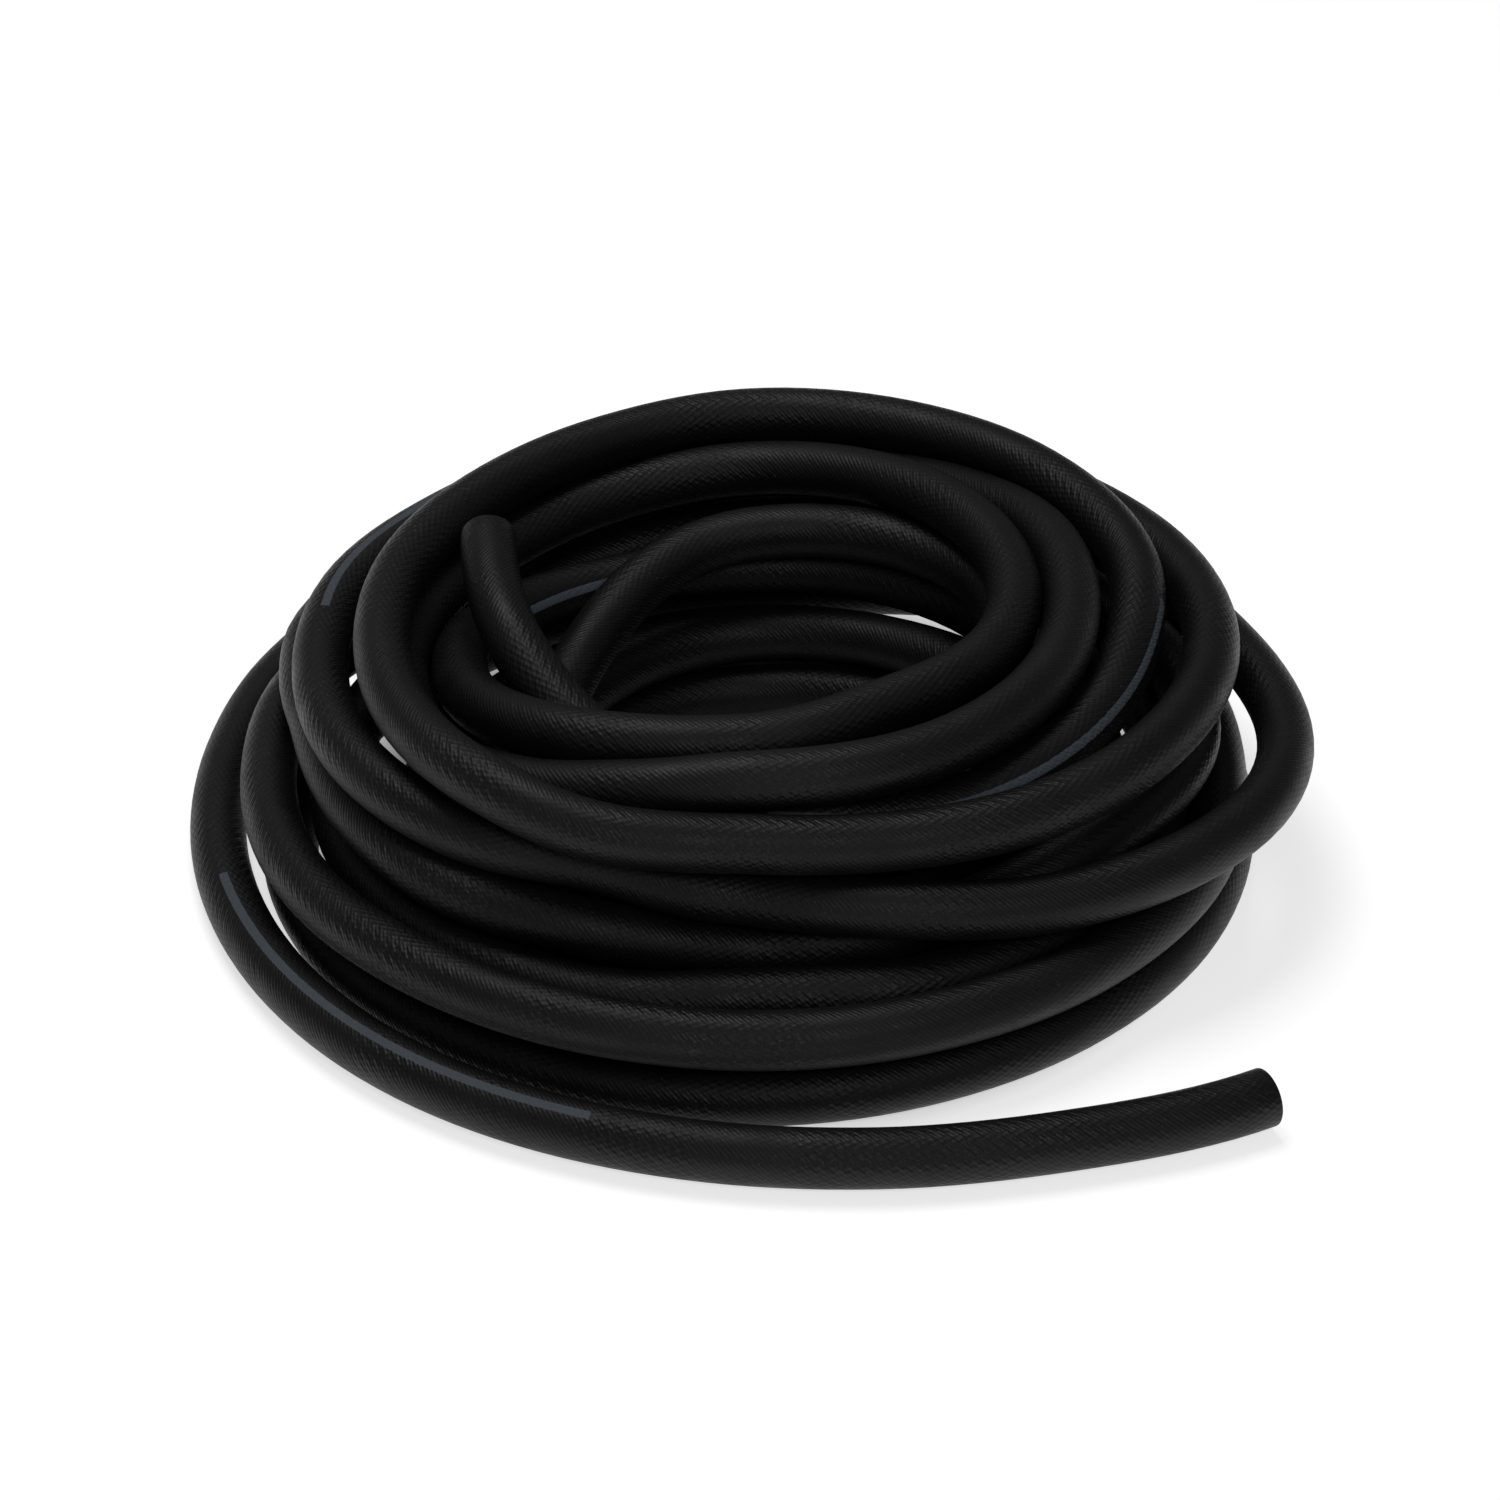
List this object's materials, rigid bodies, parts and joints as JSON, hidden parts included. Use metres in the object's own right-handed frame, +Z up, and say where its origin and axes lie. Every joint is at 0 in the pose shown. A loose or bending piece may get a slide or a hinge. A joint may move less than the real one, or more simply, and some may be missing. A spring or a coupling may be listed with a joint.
{
  "type": "heater hose",
  "caption": "Length of half inch rubber heater hose with square cut open ends, lying in a loose stacked coil.",
  "frame": {"origin": "on the floor under the middle of the coil's bounding box", "axes": "+Z up, the coil's axis; -Y the side the picture is taken from; the floor end points to +X and +Y"},
  "size_m": [0.4068, 0.4089, 0.1136],
  "materials": {
    "hose_rubber": "matte"
  },
  "bodies": {
    "root": {"heater_hose": "hose_rubber"}
  },
  "joints": []
}
